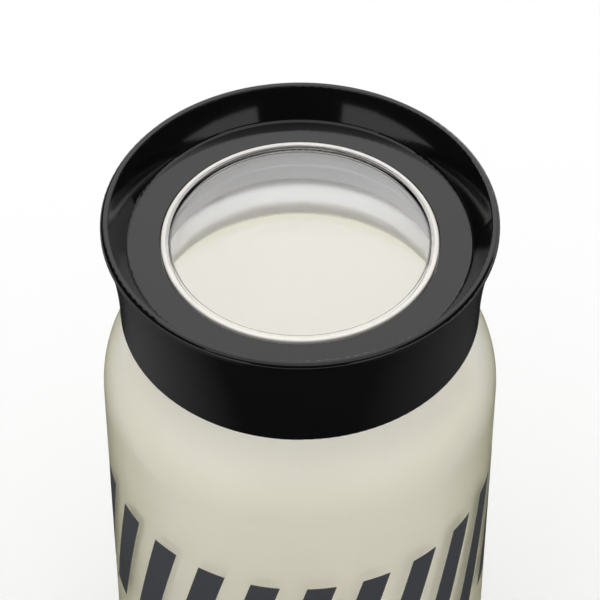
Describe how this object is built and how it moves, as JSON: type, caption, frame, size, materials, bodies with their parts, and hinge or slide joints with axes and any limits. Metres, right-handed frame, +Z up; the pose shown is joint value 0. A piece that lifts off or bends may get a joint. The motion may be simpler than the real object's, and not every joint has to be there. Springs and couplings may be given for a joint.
{
  "type": "glass storage jar",
  "caption": "Round frosted glass storage jar with a curved shoulder, closed by a flared black screw lid with a clear round window in its sunk top.",
  "frame": {"origin": "middle of the foot that the jar stands on", "axes": "+Z up along the jar's axis, through the middle of the lid's window"},
  "size_m": [0.108, 0.108, 0.2058],
  "materials": {
    "frosted_glass": "satin frosted",
    "silicone": "soft satin",
    "liner_plastic": "translucent",
    "clear_plastic": "clear gloss",
    "black_plastic": "high gloss"
  },
  "bodies": {
    "jar": {"glass_jar": "frosted_glass"},
    "seal": {"seal_ring": "silicone"},
    "lid": {"screw_liner": "liner_plastic", "lid_window": "clear_plastic", "lid_cover": "black_plastic"}
  },
  "joints": [
    {"name": "lid_lift", "type": "slide", "parent": "jar", "child": "seal", "axis": [0, 0, 1], "range_m": [0, 0.0261]},
    {"name": "lid_turn", "type": "hinge", "parent": "seal", "child": "lid", "pos_m": [0, 0, 0.1962], "axis": [0, 0, 1], "range_deg": [0, 520]}
  ],
  "couplings": [
    {"joint": "lid_lift", "follows": "lid_turn", "m_per_rad": 0.0028648}
  ]
}
